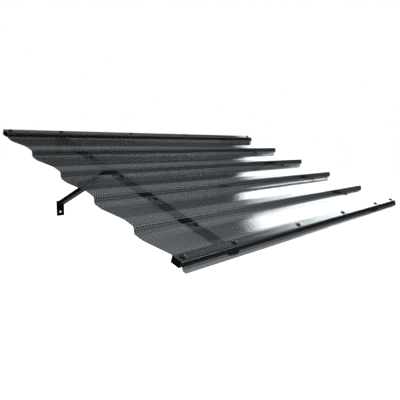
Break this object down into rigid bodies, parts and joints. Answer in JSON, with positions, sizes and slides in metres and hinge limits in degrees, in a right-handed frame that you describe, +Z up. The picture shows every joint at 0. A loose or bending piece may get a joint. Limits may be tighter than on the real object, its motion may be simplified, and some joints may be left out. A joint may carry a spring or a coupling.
{
  "type": "door canopy",
  "caption": "Wall-mounted door canopy: a smoked, wave-profiled plastic roof sheet bolted to two cross tubes and two strutted steel brackets.",
  "frame": {"origin": "centre of the four wall holes, on the wall face (the back faces of the wall tabs)", "axes": "+X to the right along the wall, +Y into the wall, +Z up; the roof falls away towards -Y"},
  "size_m": [1.5, 0.9266, 0.3457],
  "materials": {
    "roof_sheet": "smoked grey translucent polycarbonate, gloss, finely embossed honeycomb pattern",
    "frame_coating": "black semi-gloss powder coat on steel tube and plate",
    "end_plugs": "black moulded polyethylene plugs",
    "black_fixings": "black coated steel dome-head bolts and cup washers",
    "seals": "black EPDM sealing rings",
    "zinc_fixings": "zinc plated nuts and flat washers on the underside"
  },
  "bodies": {
    "root": {"crossing_bolts": "black_fixings", "crossing_cup_washers": "black_fixings", "crossing_flat_washers": "zinc_fixings", "crossing_nuts": "zinc_fixings", "crossing_seals": "seals", "front_cross_tube": "frame_coating", "front_left_end_cap": "end_plugs", "front_right_end_cap": "end_plugs", "front_tube_bolts": "black_fixings", "front_tube_cup_washers": "black_fixings", "front_tube_flat_washers": "zinc_fixings", "front_tube_nuts": "zinc_fixings", "front_tube_seals": "seals", "left_arm": "frame_coating", "left_arm_bolts": "black_fixings", "left_arm_cup_washers": "black_fixings", "left_arm_flat_washers": "zinc_fixings", "left_arm_nuts": "zinc_fixings", "left_arm_plug": "end_plugs", "left_arm_seals": "seals", "left_lower_wall_tab": "frame_coating", "left_strut": "frame_coating", "left_upper_wall_tab": "frame_coating", "rear_cross_tube": "frame_coating", "rear_left_end_cap": "end_plugs", "rear_right_end_cap": "end_plugs", "rear_tube_bolts": "black_fixings", "rear_tube_cup_washers": "black_fixings", "rear_tube_flat_washers": "zinc_fixings", "rear_tube_nuts": "zinc_fixings", "rear_tube_seals": "seals", "right_arm": "frame_coating", "right_arm_bolts": "black_fixings", "right_arm_cup_washers": "black_fixings", "right_arm_flat_washers": "zinc_fixings", "right_arm_nuts": "zinc_fixings", "right_arm_plug": "end_plugs", "right_arm_seals": "seals", "right_lower_wall_tab": "frame_coating", "right_strut": "frame_coating", "right_upper_wall_tab": "frame_coating", "wave_sheet": "roof_sheet"}
  },
  "joints": []
}
